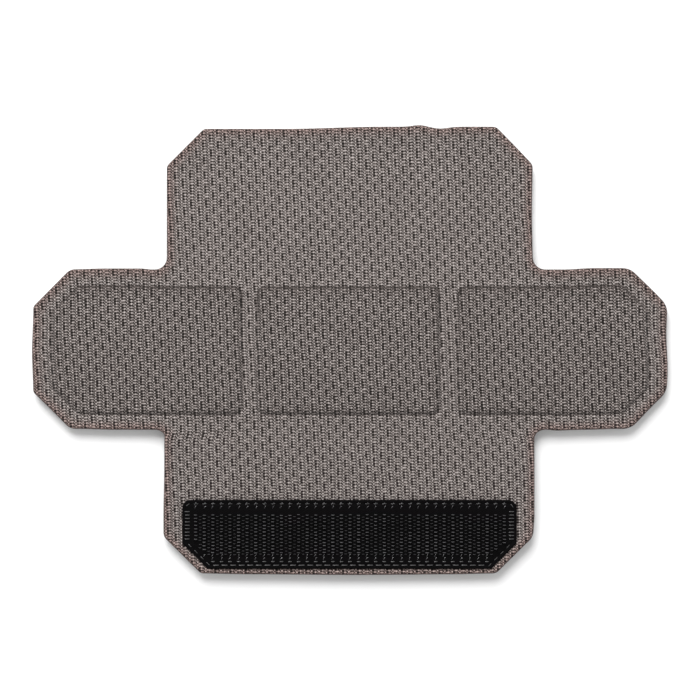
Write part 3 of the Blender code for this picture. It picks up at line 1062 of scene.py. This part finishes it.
def wire_hook(x, y, z, lean, radius, draw):
    """A J of wire: up, over to one side and part of the way down."""
    height = (HOOK_HEIGHT if lean > 0 else CROSS_HOOK_HEIGHT) + draw.uniform(-0.06, 0.05) * MM
    tilt = draw.uniform(-0.10, 0.10) * MM
    shoulder = height - HOOK_REACH
    path = [(x, y, z - 0.1 * MM), (x, y + 0.3 * tilt, z + shoulder * 0.55)]
    for i in range(6):
        angle = math.pi * i / 5
        across = HOOK_REACH * (1 - math.cos(angle)) * 0.92
        path.append((x + lean * across, y + tilt, z + shoulder + HOOK_REACH * math.sin(angle)))
    tip_x, _, tip_z = path[-1]
    path.append((tip_x - lean * 0.06 * MM, y + tilt, tip_z - HOOK_TIP))
    return tube(path, radius, 6, ends=0.7)


def pressed_hook(x, y, z, draw):
    """A hook that the sewing has flattened: a short slanting arc on the tape."""
    slant = PRESSED_SLANT + draw.uniform(-0.25, 0.25)
    path = []
    for i in range(6):
        t = i / 5 - 0.5
        run = PRESSED_LENGTH * t
        bow = math.cos(math.pi * t)
        place_y = y + run * math.sin(slant) + PRESSED_BOW * bow
        path.append((x + run * math.cos(slant), place_y, z + PRESSED_RISE * (1 + bow)))
    return tube(path, PRESSED_RADIUS, 5, ends=0.6)


def room_in_tape(x, y):
    """How far a place lies inside the tape's outline."""
    return depth_in(np.array([(x, y)]), rounded(TAPE))[0]


def hooks():
    """Rows of hooks with thinner ones that lean the other way, and pressed ones under the seams."""
    draw = np.random.default_rng(7)
    parts = []
    columns = np.arange(-COLUMNS_A_SIDE, COLUMNS_A_SIDE + 1) * HOOK_PITCH
    wire = dict(zip(columns, draw.uniform(THINNEST_WIRE, THICKEST_WIRE, len(columns)) * MM))
    for row in range(HOOK_ROWS):
        y = TAPE_HIGH.y - TOP_ROW_INSET - row * ROW_PITCH
        for column in columns:
            for offset, lean in ((HOOK_SHIFT, 1), (CROSS_HOOK_SHIFT, -1)):
                x = column + offset
                if room_in_tape(x, y) < HOOK_ROOM:
                    continue
                jitter = draw.uniform(-HOOK_STRAY, HOOK_STRAY, 2) * MM
                y_here = y + jitter[1] - (0 if lean > 0 else ROW_PITCH / 2)
                radius = wire[column] if lean > 0 else CROSS_HOOK_RADIUS
                parts.append(wire_hook(x + jitter[0], y_here, TAPE_TOP_Z, lean, radius, draw))
    # Rows under the seams: their height, how far a hook strays along them in mm, and the room it needs
    seam_rows = (
        (TAPE_HIGH.y - 1.2 * MM, 0.3, 0.9 * MM),
        (TAPE_HIGH.y - 2.4 * MM, 0.3, 0.9 * MM),
        (TAPE_LOW.y + 3.8 * MM, 0.2, 2.4 * MM),
        (TAPE_LOW.y + 4.9 * MM, 0.2, 2.4 * MM),
    )
    for y, stray, room in seam_rows:
        for column in columns:
            x = column + draw.uniform(-stray, stray) * MM
            if room_in_tape(x, y) > room:
                parts.append(pressed_hook(x, y, TAPE_TOP_Z, draw))
    return joined("hook_field", parts)


def needle_stitches():
    """The upper thread: along the tape's edges, a second row above the lower one, and bars at both ends."""
    parts = []
    z = TAPE_TOP_Z - 0.02 * MM
    level = np.array((1.0, 0.0))
    for place, along in along_outline(rounded(moved_in(TAPE, STITCH_INSET)), STITCH_PITCH):
        at_end = abs(along[1]) > 0.95
        if at_end:
            continue
        if place[1] < TAPE_LOW.y + 1.1 * STITCH_INSET:
            parts.append(stitch(place, along, LOWER_STITCH, z, radius=0.17 * MM))
        else:
            parts.append(stitch(place, along, EDGE_STITCH, z, radius=0.11 * MM, rise=0.06 * MM))
    for x in np.arange(-SECOND_SEAM_SIDE, SECOND_SEAM_SIDE + 1) * STITCH_PITCH:
        parts.append(stitch(np.array((x, TAPE_LOW.y + SECOND_SEAM_INSET)), level, SECOND_STITCH, z))
    for side, end in ((-1, TAPE_HIGH.x + TAPE_REACH), (1, TAPE_HIGH.x)):
        for i in range(END_STITCHES):
            y = TAPE_HIGH.y - END_STITCH_START - i * ROW_PITCH
            place = np.array((side * (end - END_STITCH_INSET), y))
            parts.append(stitch(place, level, END_STITCH, z, radius=0.15 * MM))
    return joined("needle_stitches", parts)


def bobbin_stitches():
    """The lower thread, in the groove that the seam pulls into the lining."""
    parts = []
    z = SEAM_PULL - 0.05 * MM
    for place, along in along_outline(rounded(moved_in(TAPE, STITCH_INSET)), STITCH_PITCH):
        parts.append(stitch(place, along, BOBBIN_STITCH, z, side=-1, radius=0.22 * MM, rise=0.06 * MM))
    return joined("bobbin_stitches", parts)


base = to_object(tape_base(), WEAVE)
field = to_object(hooks(), HOOK)
needle = to_object(needle_stitches(), THREAD)
bobbin = to_object(bobbin_stitches(), THREAD)
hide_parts("hook_tape")
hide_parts("needle_thread")
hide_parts("bobbin_thread")
for piece in (base, field, needle, bobbin):
    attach(piece, "lower_flap")


# Floor, light and camera


def stage_floor():
    """A pale floor just under the pad."""
    mesh = bpy.data.meshes.new("floor")
    size = FLOOR_HALF
    corners = [(-size, -size), (size, -size), (size, size), (-size, size)]
    mesh.from_pydata([(x, y, -FLOOR_DROP) for x, y in corners], [], [(0, 1, 2, 3)])
    material = bpy.data.materials.new("pale_floor")
    material.use_nodes = True
    shader = material.node_tree.nodes["Principled BSDF"]
    shader.inputs["Base Color"].default_value = (0.9, 0.9, 0.9, 1)
    shader.inputs["Roughness"].default_value = 0.9
    shader.inputs["Specular IOR Level"].default_value = 0.1
    mesh.materials.append(material)
    floor = bpy.data.objects.new("floor", mesh)
    bpy.context.scene.collection.objects.link(floor)


def area_light(name, place, size, power):
    """A round soft light that points at the pad."""
    data = bpy.data.lights.new(name, "AREA")
    data.shape = "DISK"
    data.size = size
    data.energy = power
    light = bpy.data.objects.new(name, data)
    light.location = place
    light.rotation_euler = (-Vector(place)).to_track_quat("-Z", "Y").to_euler()
    bpy.context.scene.collection.objects.link(light)


def make_camera():
    """Straight above the pad, and as far off as the width of the frame at the face asks for."""
    data = bpy.data.cameras.new("camera")
    data.lens = LENS
    data.sensor_width = SENSOR_WIDTH
    camera = bpy.data.objects.new("camera", data)
    camera.location = (0, CAMERA_Y, FRAME_WIDTH * LENS / SENSOR_WIDTH + FACE_TOP)
    bpy.context.scene.collection.objects.link(camera)
    bpy.context.scene.camera = camera


def make_sky():
    """White light all round, stronger from the side than from above."""
    world = bpy.data.worlds.new("studio")
    world.use_nodes = True
    bpy.context.scene.world = world
    sky = world.node_tree
    direction = sky.nodes.new("ShaderNodeTexCoord")
    split = sky.nodes.new("ShaderNodeSeparateXYZ")
    glow = sky.nodes.new("ShaderNodeMapRange")
    sky.links.new(direction.outputs["Generated"], split.inputs[0])
    sky.links.new(split.outputs["Z"], glow.inputs["Value"])
    glow.inputs["To Min"].default_value = SKY_LOW
    glow.inputs["To Max"].default_value = SKY_HIGH
    sky.links.new(glow.outputs["Result"], sky.nodes["Background"].inputs["Strength"])
    sky.nodes["Background"].inputs["Color"].default_value = (1, 1, 1, 1)


make_sky()
bpy.context.scene.view_settings.view_transform = "Standard"
stage_floor()
area_light("key", KEY_PLACE, KEY_SIZE, KEY_POWER)
make_camera()
